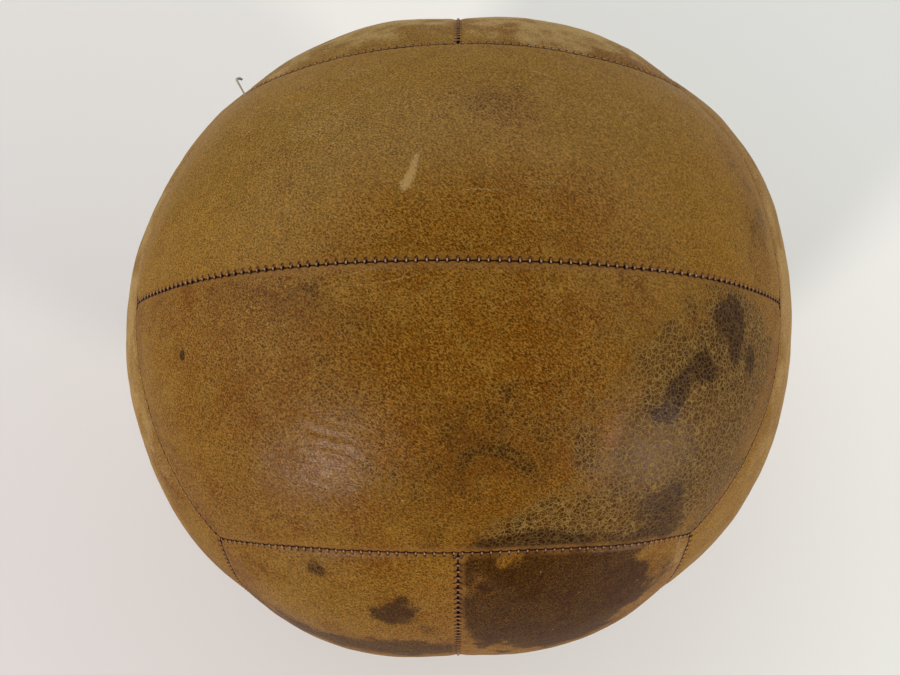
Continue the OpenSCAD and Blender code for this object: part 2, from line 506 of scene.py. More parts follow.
def scattered_marks(seed):
    """Marks for a panel that has none of its own."""
    rng = np.random.default_rng(seed)
    marks = []
    for channel, count, low, high, strength in (
        ("dark", 5, 3, 14, 0.6),
        ("crackle", 2, 18, 34, 0.9),
        ("olive", 3, 18, 35, 0.6),
        ("pale", 4, 2, 10, 0.7),
        ("red", 2, 20, 35, 0.4),
        ("pores", 1, 12, 20, 0.8),
    ):
        for _ in range(count):
            long, wide = rng.uniform(low, high, 2)
            along, across, slant = rng.uniform(-110, 110), rng.uniform(5, 87), rng.uniform(-60, 60)
            marks.append((channel, along, across, long, wide, slant, strength))
    return marks


def build_panel(name, index):
    """A panel: a finely stepped outer face, the turned-in allowances' walls and the flesh side."""
    turn = place_matrix(*PANELS[name])
    u = rimmed_line(2 * RADIUS * FACE_HALF) / (RADIUS * FACE_HALF) - 1
    v = rimmed_line(RADIUS * EDGE_LAT) / (RADIUS * EDGE_LAT)
    rows, columns = len(v), len(u)
    lat, lon = panel_angles(u[None, :], v[:, None], SEAM_GAP / 2)
    lat, lon = np.broadcast_arrays(lat, lon)
    local = direction(lat, lon).reshape(-1, 3)
    dirs = local @ turn.T
    base = body_radius(dirs)
    drop = surface_drop(name, local, dirs * RADIUS)
    outer = settled(CENTRE + dirs * (base - drop)[:, None], 0)

    ring_u, ring_v = 120, 40
    cu, cv = np.linspace(-1, 1, ring_u), np.linspace(0, 1, ring_v)

    def layer(inset, depth):
        """One of the layers under the outer face, in coarser steps."""
        a, b = np.broadcast_arrays(*panel_angles(cu[None, :], cv[:, None], inset))
        d = direction(a, b).reshape(-1, 3) @ turn.T
        return settled(CENTRE + d * (body_radius(d) - depth)[:, None], depth)

    loop = np.concatenate([s[:-1] for s in border(ring_v, ring_u)])
    wall_inset, flesh_inset = SEAM_GAP / 2, SEAM_GAP / 2 + LEATHER_T
    rings = [
        layer(wall_inset, ALLOWANCE * 0.6)[loop],
        layer(wall_inset, ALLOWANCE)[loop],
        layer(flesh_inset, ALLOWANCE)[loop],
    ]
    flesh = layer(flesh_inset, LEATHER_T)

    n = len(loop)
    starts = [rows * columns + k * n for k in range(3)]
    flesh_start = rows * columns + 3 * n
    points = np.concatenate([outer, *rings, flesh])

    quads = [grid_faces(rows, columns)]
    here = np.arange(n)
    after = np.roll(here, -1)
    for k in range(2):
        a, b = starts[k], starts[k + 1]
        quads.append(np.stack([after + a, here + a, here + b, after + b], axis=1))
    inner = flesh_start + loop
    quads.append(np.stack([after + starts[2], here + starts[2], inner, np.roll(inner, -1)], axis=1))
    quads.append(grid_faces(ring_v, ring_u, flesh_start)[:, ::-1])

    triangles, passed = [], 0
    for fine, matching in zip(border(rows, columns), border(ring_v, ring_u)):
        coarse = starts[0] + (passed + np.arange(len(matching))) % n
        triangles += zip_sides(list(fine), list(coarse))
        passed += len(matching) - 1
    triangles = np.array(triangles)

    quads = np.concatenate(quads)
    if np.linalg.det(turn) < 0:
        quads, triangles = quads[:, ::-1], triangles[:, ::-1]
    obj = new_mesh(name.replace("_panel", "_leather"), points, [quads, triangles])

    marks = paint_marks(name, local, dirs * RADIUS, 100 + 10 * index)
    add_leather_values(obj, name, local, marks)
    return obj


def add_leather_values(obj, name, local, marks):
    """Seam distances and marks on the outer face; the points under it are plain and far from any seam."""
    total = len(obj.data.vertices)
    rest = total - len(local)
    away, along = seam_distances(local)
    away = np.concatenate([away, np.full((rest, 3), 50.0)])
    along = np.concatenate([along, np.full((rest, 3), 0.5)])
    marks = np.concatenate([marks, np.zeros((rest, len(CHANNELS)))])
    tone = np.full((total, 1), CHARACTER.get(name, PLAIN)["tone"])
    add_values(obj, "rim", "FLOAT_VECTOR", away)
    add_values(obj, "stitch", "FLOAT_VECTOR", along)
    add_values(obj, "holes", "FLOAT_VECTOR", np.tile(hole_sides(name), (total, 1)))
    add_values(obj, "marks", "FLOAT_COLOR", np.concatenate([marks[:, :3], tone], axis=1))
    add_values(obj, "marks_more", "FLOAT_COLOR", np.concatenate([marks[:, 3:], np.ones((total, 1))], axis=1))


# ---- Stitches ----


def tubes(paths, radii, sides):
    """Closed tubes along many paths of the same length: paths (k, n, 3), radii (n,)."""
    k, n, _ = paths.shape
    ahead = np.gradient(paths, axis=1)
    ahead /= np.linalg.norm(ahead, axis=2, keepdims=True)
    side = np.cross(ahead, np.broadcast_to(np.array([0.31, 0.53, 0.79]), ahead.shape))
    side /= np.linalg.norm(side, axis=2, keepdims=True)
    for j in range(1, n):
        s = side[:, j - 1] - (side[:, j - 1] * ahead[:, j]).sum(axis=1, keepdims=True) * ahead[:, j]
        side[:, j] = s / np.linalg.norm(s, axis=1, keepdims=True)
    up = np.cross(ahead, side)
    turn = np.arange(sides) * 2 * math.pi / sides
    ring = side[:, :, None] * np.cos(turn)[:, None] + up[:, :, None] * np.sin(turn)[:, None]
    points = paths[:, :, None] + ring * np.asarray(radii)[None, :, None, None]
    body = points.reshape(k, n * sides, 3)
    ends = np.stack([paths[:, 0], paths[:, -1]], axis=1)
    points = np.concatenate([body, ends], axis=1)
    i = np.arange(sides)
    j = (i + 1) % sides
    strip = np.stack([i, j, j + sides, i + sides], axis=1)
    quads = np.concatenate([strip + r * sides for r in range(n - 1)])
    first = np.stack([j, i, np.full(sides, n * sides)], axis=1)
    last_ring = (n - 1) * sides
    last = np.stack([last_ring + i, last_ring + j, np.full(sides, n * sides + 1)], axis=1)
    count = n * sides + 2
    offset = (np.arange(k) * count)[:, None, None]
    return (
        points.reshape(-1, 3),
        (quads[None] + offset).reshape(-1, 4),
        (np.concatenate([first, last])[None] + offset).reshape(-1, 3),
    )


# A stitch's path: how far across the seam, and how high before its kind of seam's rise is added. The thread
# that runs along the seam lies RUN_DEPTH below the seam's surface.
STITCH_PATH = [
    (-0.36, -2.8), (-0.34, -1.6), (-0.24, -0.85), (-0.02, -0.48), (0.24, -0.5), (0.44, -0.95), (0.5, -2.0)
]
MIDDLE_SEAM_RISE = 0.85
EDGE_SEAM_RISE = 0.6
RUN_DEPTH = 1.3


def seam_frame(turn, lat, lon):
    """Outward, along and across directions at places on a seam: each (n, 3)."""
    out = direction(lat, lon)
    along = np.stack([np.cos(lon), np.zeros_like(lon), -np.sin(lon)], axis=-1)
    across = np.cross(out, along)
    across *= np.sign(across[:, 1:2])
    return out @ turn.T, along @ turn.T, across @ turn.T


def seam_surface(dirs):
    """Where the leather's outer face would be over a seam."""
    return settled(CENTRE + dirs * (body_radius(dirs) - VALLEY - SAG)[:, None], 0.8)


def build_stitching(name, index):
    """One seam's sewing: a bight of thread at every stitch, and the thread that runs under them."""
    pair, side, half = SEAMS[name]
    turn = place_matrix(pair, side, half or 1)
    lat, first, count = (EDGE_LAT, EDGE_FIRST, EDGE_COUNT) if half else (0.0, MID_FIRST, MID_COUNT)
    rng = np.random.default_rng(300 + index)
    lon = first * (2 * np.arange(count + 1) / count - 1)
    lon = lon + rng.normal(0, 0.12, len(lon)) / RADIUS
    out, along, across = seam_frame(turn, np.full(len(lon), lat), lon)
    base = seam_surface(out)
    path = np.array(STITCH_PATH)
    rise = EDGE_SEAM_RISE if half else MIDDLE_SEAM_RISE
    scale = rng.uniform(0.88, 1.12, (len(lon), 1, 1))
    lift = rng.normal(0, 0.05, (len(lon), 1, 1))
    lean = rng.normal(0, 0.12, (len(lon), 1, 1)) * path[None, :, :1]
    paths = (
        base[:, None]
        + across[:, None] * path[None, :, :1] * scale
        + out[:, None] * (path[None, :, 1:] + rise + lift)
        + along[:, None] * lean
    )
    fine = smooth_paths(paths, 4)
    bights = tubes(fine, np.full(fine.shape[1], THREAD_R), 8)

    run_lon = np.linspace(-first, first, 3 * count)
    run_out, _, _ = seam_frame(turn, np.full(len(run_lon), lat), run_lon)
    run = (seam_surface(run_out) - run_out * RUN_DEPTH)[None]
    runs = tubes(run, np.full(run.shape[1], THREAD_R * 0.8), 6)

    offset = len(bights[0])
    points = np.concatenate([bights[0], runs[0]])
    obj = new_mesh(name.replace("_stitching", "_thread"), points, [
        np.concatenate([bights[1], runs[1] + offset]),
        np.concatenate([bights[2], runs[2] + offset]),
    ])
    # how far each point lies below its stitch's top, for the thread's painted shade down in the seam
    heights = np.full(len(points), 2.0)
    per = len(bights[0]) // len(lon)
    local = ((bights[0].reshape(len(lon), per, 3) - base[:, None]) * out[:, None]).sum(axis=2)
    heights[:offset] = (local.max(axis=1, keepdims=True) - local).reshape(-1)
    below = np.stack([heights, heights, heights, np.ones(len(points))], axis=1)
    add_values(obj, "below", "FLOAT_COLOR", below)
    return obj


def smooth_paths(paths, times):
    """Catmull-Rom curves through each path's points, with times points a stretch."""
    before = 2 * paths[:, :1] - paths[:, 1:2]
    beyond = 2 * paths[:, -1:] - paths[:, -2:-1]
    padded = np.concatenate([before, paths, beyond], axis=1)
    t = np.linspace(0, 1, times, endpoint=False)[None, :, None]
    pieces = []
    for i in range(paths.shape[1] - 1):
        a, b, c, d = (padded[:, i + j][:, None] for j in range(4))
        square, cube = 2 * a - 5 * b + 4 * c - d, 3 * b - a - 3 * c + d
        pieces.append(0.5 * (2 * b + (c - a) * t + square * t**2 + cube * t**3))
    return np.concatenate(pieces + [paths[:, -1:]], axis=1)


# ---- The loose end, the bag and the stuffing ----

# The loose end's bends: millimetres to the right, to the rear and up from the corner.
LOOSE_BENDS = [
    (0, 0, 0), (-1, 1.2, 1), (-1.7, 2.4, 1.8), (-2.7, 4.2, 2.4), (-3.7, 6, 2.7),
    (-4.1, 7, 2.5), (-3.8, 7.7, 2.1), (-3, 7.9, 1.7), (-2.3, 7.6, 1.5),
]


def build_loose_end():
    """The sewing thread's end, standing out of a corner where three seams meet, and bent over at its tip."""
    corner = np.array([-1, 1, 1]) / math.sqrt(3)
    root = seam_surface(corner[None])[0] - 2 * corner
    path = root + np.array(LOOSE_BENDS)
    path = smooth_paths(path[None], 5)
    radii = np.interp(np.arange(path.shape[1]), [0, 10, 26, path.shape[1] - 1], [0.38, 0.38, 0.55, 0.5])
    points, quads, triangles = tubes(path, radii, 10)
    return new_mesh("loose_thread", points, [quads, triangles])


# The linen's thickness, its depth under the leather's outer face, and half the gap along its seam.
BAG_T = 1.2
BAG_DEPTH = ALLOWANCE + 0.8
BAG_GAP = 0.6
STUFFING_DEPTH = BAG_DEPTH + BAG_T + 0.6


def bag_radius(dirs):
    """The bag's outer radius over each direction, creased and drawn in at its seam."""
    creases = 0.5 * fractal(dirs * RADIUS, 24, 71) ** 2
    near_seam = np.exp(-((dirs[:, 0] * RADIUS / 5) ** 2))
    puckers = 0.25 * near_seam * np.sin(np.arctan2(dirs[:, 1], dirs[:, 2]) * 130)
    return body_radius(dirs) - BAG_DEPTH - creases - 0.9 * near_seam + puckers


def sphere_angles(tilts, spokes):
    """Tilts from an axis and turns round it, one of each for every point of a sphere's grid."""
    turns = np.arange(spokes) * 2 * math.pi / spokes
    return (a.reshape(-1) for a in np.meshgrid(tilts, turns, indexing="ij"))


def build_bag_half(side):
    """Half of the linen bag: a shell with its cut edges beside the bag's seam."""
    rings, spokes = 90, 240
    tilt, turn = sphere_angles(np.linspace(0, math.pi / 2 - BAG_GAP / RADIUS, rings)[1:], spokes)
    dirs = np.stack([side * np.cos(tilt), np.sin(tilt) * np.cos(turn), np.sin(tilt) * np.sin(turn)], axis=1)
    dirs = np.concatenate([[[side, 0, 0]], dirs])
    shells = []
    for depth in (0, BAG_T):
        reach = bag_radius(dirs) - depth
        shells.append(settled(CENTRE + dirs * reach[:, None], BAG_DEPTH + depth))
    n = len(dirs)
    i = np.arange(spokes)
    j = (i + 1) % spokes
    quads, triangles = [], []
    for start, flip in ((0, side < 0), (n, side > 0)):
        for r in range(rings - 2):
            a, b = start + 1 + r * spokes, start + 1 + (r + 1) * spokes
            ring = np.stack([a + i, b + i, b + j, a + j], axis=1)
            quads.append(ring[:, ::-1] if flip else ring)
        cap = np.stack([np.full(spokes, start), start + 1 + i, start + 1 + j], axis=1)
        triangles.append(cap[:, ::-1] if flip else cap)
    last = 1 + (rings - 2) * spokes
    edge = np.stack([last + i, n + last + i, n + last + j, last + j], axis=1)
    quads.append(edge[:, ::-1] if side < 0 else edge)
    name = "linen_half_right" if side > 0 else "linen_half_left"
    return new_mesh(name, np.concatenate(shells), [np.concatenate(quads), np.concatenate(triangles)])


def build_bag_thread():
    """Whip stitches that draw the bag's two halves together, all the way round."""
    count = 220
    turn = np.arange(count) * 2 * math.pi / count
    lean = 0.5 * math.pi / count
    steps = np.linspace(-1, 1, 9)
    reach = 2.6
    paths = []
    for s in steps:
        angle = turn + lean * s
        dirs = np.stack([np.full(count, s * reach / RADIUS), np.cos(angle), np.sin(angle)], axis=1)
        dirs /= np.linalg.norm(dirs, axis=1, keepdims=True)
        rise = 0.35 - 1.1 * s**4
        place = CENTRE + dirs * (bag_radius(dirs) + rise)[:, None]
        paths.append(settled(place, BAG_DEPTH - rise))
    points, quads, triangles = tubes(np.stack(paths, axis=1), np.full(len(steps), 0.28), 6)
    return new_mesh("bag_whipping", points, [quads, triangles])


def build_stuffing():
    """Hair packed into lumps inside the bag."""
    rings, spokes = 150, 300
    tilt, turn = sphere_angles(np.linspace(0, math.pi, rings)[1:-1], spokes)
    dirs = np.stack([np.sin(tilt) * np.cos(turn), np.sin(tilt) * np.sin(turn), np.cos(tilt)], axis=1)
    dirs = np.concatenate([dirs, [[0, 0, 1], [0, 0, -1]]])
    lumps = 1.1 * np.abs(fractal(dirs * RADIUS, 16, 81)) + 0.3 * np.abs(lattice_noise(dirs * RADIUS, 4, 85))
    reach = bag_radius(dirs) + BAG_DEPTH - STUFFING_DEPTH - lumps
    points = settled(CENTRE + dirs * reach[:, None], STUFFING_DEPTH)
    i = np.arange(spokes)
    j = (i + 1) % spokes
    quads = []
    for r in range(rings - 3):
        a, b = r * spokes, (r + 1) * spokes
        quads.append(np.stack([a + i, b + i, b + j, a + j], axis=1))
    top, bottom, last = len(dirs) - 2, len(dirs) - 1, (rings - 3) * spokes
    caps = [
        np.stack([np.full(spokes, top), i, j], axis=1),
        np.stack([last + i, np.full(spokes, bottom), last + j], axis=1),
    ]
    return new_mesh("hair_filling", points, [np.concatenate(quads), np.concatenate(caps)])


# ---- Node trees ----


class Tree:
    """Short calls for building one material's nodes."""

    def __init__(self, name):
        self.material = bpy.data.materials.new(name)
        self.material.use_nodes = True
        self.tree = self.material.node_tree
        self.tree.nodes.clear()
        self.output = self.tree.nodes.new("ShaderNodeOutputMaterial")
        self.shader = self.tree.nodes.new("ShaderNodeBsdfPrincipled")
        self.tree.links.new(self.shader.outputs[0], self.output.inputs["Surface"])

    def feed(self, socket, value):
        """Links a socket to a node's output, or sets its value."""
        if isinstance(value, bpy.types.NodeSocket):
            self.tree.links.new(value, socket)
        elif isinstance(value, tuple) and len(value) == 3 and socket.type == "RGBA":
            socket.default_value = (*value, 1)
        else:
            socket.default_value = value

    def node(self, kind, inputs, output=0, **settings):
        """Adds a node and returns one of its outputs."""
        made = self.tree.nodes.new(kind)
        for key, value in settings.items():
            setattr(made, key, value)
        for key, value in inputs.items():
            self.feed(made.inputs[key], value)
        return made.outputs[output]

    def math(self, operation, a, b=0.0):
        return self.node("ShaderNodeMath", {0: a, 1: b}, operation=operation)

    def add(self, a, b):
        return self.math("ADD", a, b)

    def times(self, a, b):
        return self.math("MULTIPLY", a, b)

    def smooth(self, value, low, high, to_low=0.0, to_high=1.0):
        """Eases from one level to another as a value passes two limits."""
        inputs = {"Value": value, "From Min": low, "From Max": high, "To Min": to_low, "To Max": to_high}
        return self.node("ShaderNodeMapRange", inputs, interpolation_type="SMOOTHSTEP")

    def mix(self, amount, a, b):
        """A colour between two colours."""
        made = self.tree.nodes.new("ShaderNodeMix")
        made.data_type = "RGBA"
        made.clamp_factor = True
        self.feed(made.inputs[0], amount)
        self.feed(made.inputs[6], a)
        self.feed(made.inputs[7], b)
        return made.outputs[2]

    def noise(self, at, size, detail=3.0, rough=0.5, distortion=0.0, output=0):
        """Smooth noise with features about size across."""
        inputs = {"Vector": at, "Scale": 1 / size, "Detail": detail, "Roughness": rough}
        inputs["Distortion"] = distortion
        return self.node("ShaderNodeTexNoise", inputs, output)

    def cells(self, at, size, feature="DISTANCE_TO_EDGE", output=0):
        """Irregular cells about size across."""
        return self.node("ShaderNodeTexVoronoi", {"Vector": at, "Scale": 1 / size}, output, feature=feature)

    def vector(self, operation, a, b=(0, 0, 0), scale=1.0):
        inputs = {0: a, 1: b} if operation != "SCALE" else {0: a, "Scale": scale}
        output = 1 if operation in ("LENGTH", "DISTANCE", "DOT_PRODUCT") else 0
        return self.node("ShaderNodeVectorMath", inputs, output, operation=operation)

    def split(self, value):
        """The three parts of a vector or a colour."""
        made = self.tree.nodes.new("ShaderNodeSeparateXYZ")
        self.feed(made.inputs[0], value)
        return made.outputs

    def attribute(self, name, output="Vector"):
        """Values stored on a piece's points."""
        made = self.tree.nodes.new("ShaderNodeAttribute")
        made.attribute_name = name
        return made.outputs[output]

    def turned(self, at, degrees, stretch):
        """Places for a pattern turned about Z and stretched."""
        inputs = {"Vector": at, "Rotation": (0, 0, math.radians(degrees)), "Scale": stretch}
        return self.node("ShaderNodeMapping", inputs, vector_type="TEXTURE")

    def millimetres(self):
        """Places on the piece, in millimetres."""
        made = self.tree.nodes.new("ShaderNodeTexCoord")
        return self.vector("SCALE", made.outputs["Object"], scale=1 / MM)

    def bump(self, height, distance, strength):
        return self.node("ShaderNodeBump", {"Height": height, "Distance": distance, "Strength": strength})

    def finish(self, **sockets):
        """Sets the shader's inputs and returns the material."""
        for key, value in sockets.items():
            self.feed(self.shader.inputs[key.replace("_", " ")], value)
        return self.material


def paint(red, green, blue):
    """A colour given by its screen values, 0 to 255."""
    shares = [value / 255 for value in (red, green, blue)]
    return tuple(((c + 0.055) / 1.055) ** 2.4 if c > 0.04 else c / 12.92 for c in shares)


def ridges(t, at, size, width, detail=2.0):
    """Thin winding lines: 1 on them and 0 between."""
    n = t.math("ABSOLUTE", t.add(t.noise(at, size, detail, 0.55, 0.4), -0.5))
    return t.smooth(n, width, 0.0)


def seam_signs(t):
    """Beside the seams: the crease with its notches, the needle holes, and the nearest seam's distance."""
    away = t.split(t.attribute("rim"))
    along = t.split(t.attribute("stitch"))
    shown = t.split(t.attribute("holes"))
    notched, holes = [], []
    for k in range(3):
        phase = t.add(t.math("FRACT", t.add(along[k], 0.5)), -0.5)
        beside = t.times(t.math("ABSOLUTE", phase), STITCH_PITCH)
        notched.append(t.add(away[k], t.times(t.smooth(beside, 0.75, 0.05), -NOTCH)))
        off = t.add(away[k], -HOLE_AT)
        shifted = t.add(t.times(phase, STITCH_PITCH), -0.08)
        reach = t.math("SQRT", t.add(t.times(off, off), t.times(shifted, shifted)))
        ring = t.times(t.smooth(reach, 0.72, 0.5), t.smooth(reach, 0.15, 0.35))
        opening = t.times(t.smooth(shifted, 0.05, 0.35), t.smooth(off, -0.4, -0.1))
        ring = t.times(ring, t.math("SUBTRACT", 1.0, t.times(opening, 0.75)))
        holes.append(t.times(ring, shown[k]))
    crease = t.math("MINIMUM", notched[0], t.math("MINIMUM", notched[1], notched[2]))
    hole = t.math("MAXIMUM", holes[0], t.math("MAXIMUM", holes[1], holes[2]))
    nearest = t.math("MINIMUM", away[0], t.math("MINIMUM", away[1], away[2]))
    return crease, hole, nearest


# Fine pale scratches: panel, place along and across it, length, turn in degrees, half width, strength.
SCRATCHES = [
    ("top_front_panel", -20, 6, 32, -9, 0.2, 0.5),
    ("top_front_panel", 12, 13, 10, -30, 0.2, 0.5),
    ("top_front_panel", 33, 19, 12, 25, 0.2, 0.5),
    ("top_front_panel", -29, 3, 14, -14, 0.2, 0.5),
    ("top_rear_panel", 8, 21, 16, -2, 0.25, 0.6),
    ("top_rear_panel", 24, 24, 18, 4, 0.2, 0.4),
    ("top_rear_panel", 31, 70, 12, -22, 0.4, 0.7),
    ("top_rear_panel", 52, 38, 12, 60, 0.2, 0.4),
    ("top_rear_panel", -38, 14, 20, 3, 0.2, 0.4),
]


def scratched(t, at, grain, panel, along, across, length, turned, half_width, strength):
    """A broken line on the surface: strength on it and 0 elsewhere."""
    lat, lon = across / RADIUS, along / RADIUS
    turn = place_matrix(*PANELS[panel]).T
    out = direction(lat, lon)
    right = np.array([math.cos(lon), 0, -math.sin(lon)])
    up = np.cross(out, right)
    up *= np.sign(up[1])
    c, s = math.cos(math.radians(turned)), math.sin(math.radians(turned))
    axes = [tuple(float(v) for v in a @ turn) for a in (out, c * right + s * up, c * up - s * right)]
    spoke = t.vector("NORMALIZE", t.vector("SUBTRACT", at, (0, 0, CENTRE_H)))
    facing, forth, side = (t.times(t.vector("DOT_PRODUCT", spoke, axis), RADIUS) for axis in axes)
    bowed = t.add(side, t.times(t.times(forth, forth), 0.006))
    line = t.smooth(t.math("ABSOLUTE", bowed), half_width * 2, half_width * 0.5)
    line = t.times(line, t.smooth(t.math("ABSOLUTE", forth), length / 2, length / 4))
    line = t.times(line, t.smooth(grain, 0.42, 0.56, 1.0, 0.1))
    return t.times(t.times(line, t.math("GREATER_THAN", facing, 0.0)), strength)


def leather():
    """Worn ochre leather with fine grain, stains, crackle and rubbed places, with painted sheen and shade
    among its marks.
    """
    t = Tree("worn leather")
    at = t.millimetres()
    dark, crackle, pale = t.split(t.attribute("marks", "Color"))
    olive, red, pores = t.split(t.attribute("marks_more", "Color"))
    tone = t.attribute("marks", "Alpha")

    bent = t.vector("ADD", at, t.vector("SCALE", t.noise(at, 3.0, 2.0, output=1), scale=1.6))
    frayed = t.vector("ADD", bent, t.vector("SCALE", t.noise(at, 0.9, 2.0, output=1), scale=0.8))
    wide = t.noise(at, 48, 4.0, 0.6)
    patch = t.noise(at, 15, 5.0, 0.62, 0.6)
    mottle = t.noise(at, 7, 5.0, 0.65, 0.5)
    grain = t.noise(t.turned(at, -35, (1.7, 0.75, 1.0)), 0.5, 3.0, 0.7)
    net = t.cells(frayed, 2.0)
    small_net = t.cells(frayed, 0.8)
    cell = t.split(t.cells(frayed, 0.8, "F1", 1))[0]

    # the ochre ground, from rich brown to sandy
    ground = t.add(t.times(tone, 0.6), t.add(t.times(wide, 0.8), t.times(patch, 0.45)))
    colour = t.mix(t.smooth(ground, 0.72, 1.02), paint(90, 48, 1), paint(118, 85, 22))
    colour = t.mix(t.times(t.smooth(olive, 0.1, 0.9), 0.7), colour, paint(102, 77, 16))
    colour = t.mix(t.times(t.smooth(red, 0.1, 0.9), 0.8), colour, paint(94, 50, 1))
    colour = t.mix(t.times(t.smooth(mottle, 0.42, 0.7), 0.5), colour, paint(80, 43, 1))
    colour = t.mix(t.times(t.smooth(cell, 0.3, 0.9), 0.15), colour, paint(70, 37, 1))
    colour = t.vector("SCALE", colour, scale=t.smooth(grain, 0.34, 0.54, 1.9, 0.66))
    # stains, and the painted shade that some dark marks carry
    ragged = t.add(dark, t.times(t.add(patch, -0.5), 0.9))
    ragged = t.add(ragged, t.times(t.add(mottle, -0.5), 0.6))
    stain_and_shade = t.smooth(ragged, 0.4, 0.7)
    colour = t.mix(t.times(t.smooth(ragged, 0.0, 0.7), 0.75), colour, paint(66, 32, 1))
    colour = t.mix(t.times(stain_and_shade, 0.9), colour, paint(36, 11, 0))
    # raised fibres catch the light
    fine_lines = t.times(t.smooth(small_net, 0.18, 0.03), 0.75)
    fibre = t.math("MAXIMUM", fine_lines, ridges(t, frayed, 1.2, 0.1))
    fibre = t.times(fibre, t.smooth(grain, 0.44, 0.56, 1.0, 0.1))
    fibre = t.times(fibre, t.smooth(mottle, 0.3, 0.62, 0.35, 0.9))
    fibre = t.times(fibre, t.smooth(ragged, 0.7, 0.3, 0.3, 1.0))
    colour = t.mix(fibre, colour, paint(152, 112, 40))
    veins = t.smooth(t.cells(frayed, 1.35), 0.1, 0.01)
    vein = t.times(veins, t.smooth(patch, 0.35, 0.62, 0.1, 0.6))
    colour = t.mix(t.times(vein, t.smooth(dark, 0.9, 0.3, 0.2, 1.0)), colour, paint(142, 112, 48))
    # crackle: pale lines round dark cells
    zone = t.smooth(t.add(crackle, t.times(t.add(patch, -0.5), 0.8)), 0.1, 0.75)
    lines = t.math("MAXIMUM", t.smooth(net, 0.09, 0.01), t.times(veins, 0.6))
    lines = t.times(lines, t.math("SUBTRACT", 1.0, t.times(stain_and_shade, 0.6)))
    uneven = t.smooth(t.add(mottle, t.times(ragged, -0.4)), 0.15, 0.5)
    cell_tone = t.mix(uneven, paint(38, 12, 0), paint(70, 38, 1))
    colour = t.mix(t.times(zone, 0.85), colour, t.mix(lines, cell_tone, paint(130, 106, 48)))
    # rubbed places, and the painted sheen that some pale marks carry
    rub_and_sheen = t.smooth(t.add(t.times(pale, t.add(0.55, fibre)), t.times(t.add(grain, -0.5), 0.9)), 0.35, 0.95)
    fleck = t.times(t.smooth(t.cells(frayed, 8, "F1"), 0.06, 0.03), t.smooth(mottle, 0.45, 0.55))
    rub_and_sheen = t.math("MAXIMUM", rub_and_sheen, t.times(fleck, 0.8))
    for scratch in SCRATCHES:
        rub_and_sheen = t.math("MAXIMUM", rub_and_sheen, scratched(t, at, grain, *scratch))
    colour = t.mix(t.times(rub_and_sheen, 0.7), colour, paint(166, 138, 84))
    # dark pores
    slots = t.cells(t.turned(bent, -35, (2.0, 0.8, 1.0)), 1.1, "F1")
    somewhere = t.smooth(t.add(pores, t.times(t.add(mottle, -0.5), 1.6)), 0.4, 0.9)
    pore = t.times(t.smooth(slots, 0.34, 0.2), somewhere)
    colour = t.mix(t.times(pore, 0.85), colour, paint(50, 24, 3))

    # the seams: grime and painted shade in the crease, a rubbed rim beside it, and the needle holes
    crease, hole, nearest = seam_signs(t)
    band = t.times(t.smooth(nearest, 3.0, 1.2), t.smooth(mottle, 0.3, 0.6, 0.1, 0.5))
    colour = t.mix(band, colour, paint(126, 86, 36))
    # painted shade in and round each needle hole
    colour = t.mix(t.times(hole, 0.9), colour, paint(46, 20, 8))
    colour = t.mix(t.times(t.smooth(crease, 0.42, 0.16), 0.95), colour, paint(36, 15, 7))

    # relief: pebbles, fibres and crackle lines stand up, and pores and needle holes go down
    height = t.add(t.times(fibre, 0.12), t.smooth(grain, 0.34, 0.62, 0.08, 0.0))
    height = t.add(height, t.smooth(small_net, 0.0, 0.35, 0.0, 0.3))
    height = t.add(height, t.times(t.times(lines, zone), 0.8))
    height = t.add(height, t.times(pore, -0.8))
    height = t.add(height, t.times(hole, -1.2))
    bumped = t.bump(height, 0.00012, 0.9)
    return t.finish(
        Base_Color=colour,
        Roughness=0.6,
        Normal=bumped,
        Specular_IOR_Level=0.0,
        Coat_Weight=0.08,
        Coat_IOR=2.0,
        Coat_Roughness=0.22,
        Coat_Normal=bumped,
        Sheen_Weight=0.08,
        Sheen_Roughness=0.3,
        Sheen_Tint=(1.0, 0.95, 0.9, 1.0),
    )


def waxed_thread():
    """Painted shade makes it dark down in the seam; pale where the top of each stitch is rubbed."""
    t = Tree("waxed thread")
    below = t.split(t.attribute("below", "Color"))[0]
    strand = t.noise(t.millimetres(), 0.35, 2.0)
    worn = t.mix(t.smooth(strand, 0.3, 0.7), paint(128, 90, 64), paint(172, 134, 104))
    # painted shade: the thread darkens the further it lies below its stitch's top
    colour = t.mix(t.smooth(below, 0.1, 0.5), worn, paint(44, 22, 11))
    return t.finish(Base_Color=colour, Roughness=0.6, Normal=t.bump(strand, 0.0001, 0.5))


def bare_thread():
    """Pale unwaxed thread."""
    t = Tree("bare thread end")
    strand = t.noise(t.millimetres(), 0.5, 3.0)
    colour = t.mix(strand, paint(112, 104, 88), paint(196, 190, 172))
    return t.finish(Base_Color=colour, Roughness=0.7, Normal=t.bump(strand, 0.0001, 0.6))


def linen():
    """Coarse unbleached plain weave."""
    t = Tree("coarse linen")
    at = t.millimetres()
    x, y, z = t.split(at)
    warp = t.math("SINE", t.times(t.add(x, t.times(y, 0.3)), 5.2))
    weft = t.math("SINE", t.times(t.add(z, t.times(y, 0.3)), 5.2))
    weave = t.times(t.add(t.math("MAXIMUM", warp, weft), 1.0), 0.5)
    slub = t.noise(at, 6, 4.0)
    colour = t.mix(t.add(t.times(weave, 0.6), t.times(slub, 0.4)), paint(140, 122, 88), paint(212, 198, 164))
    return t.finish(Base_Color=colour, Roughness=0.9, Normal=t.bump(weave, 0.0004, 0.7))


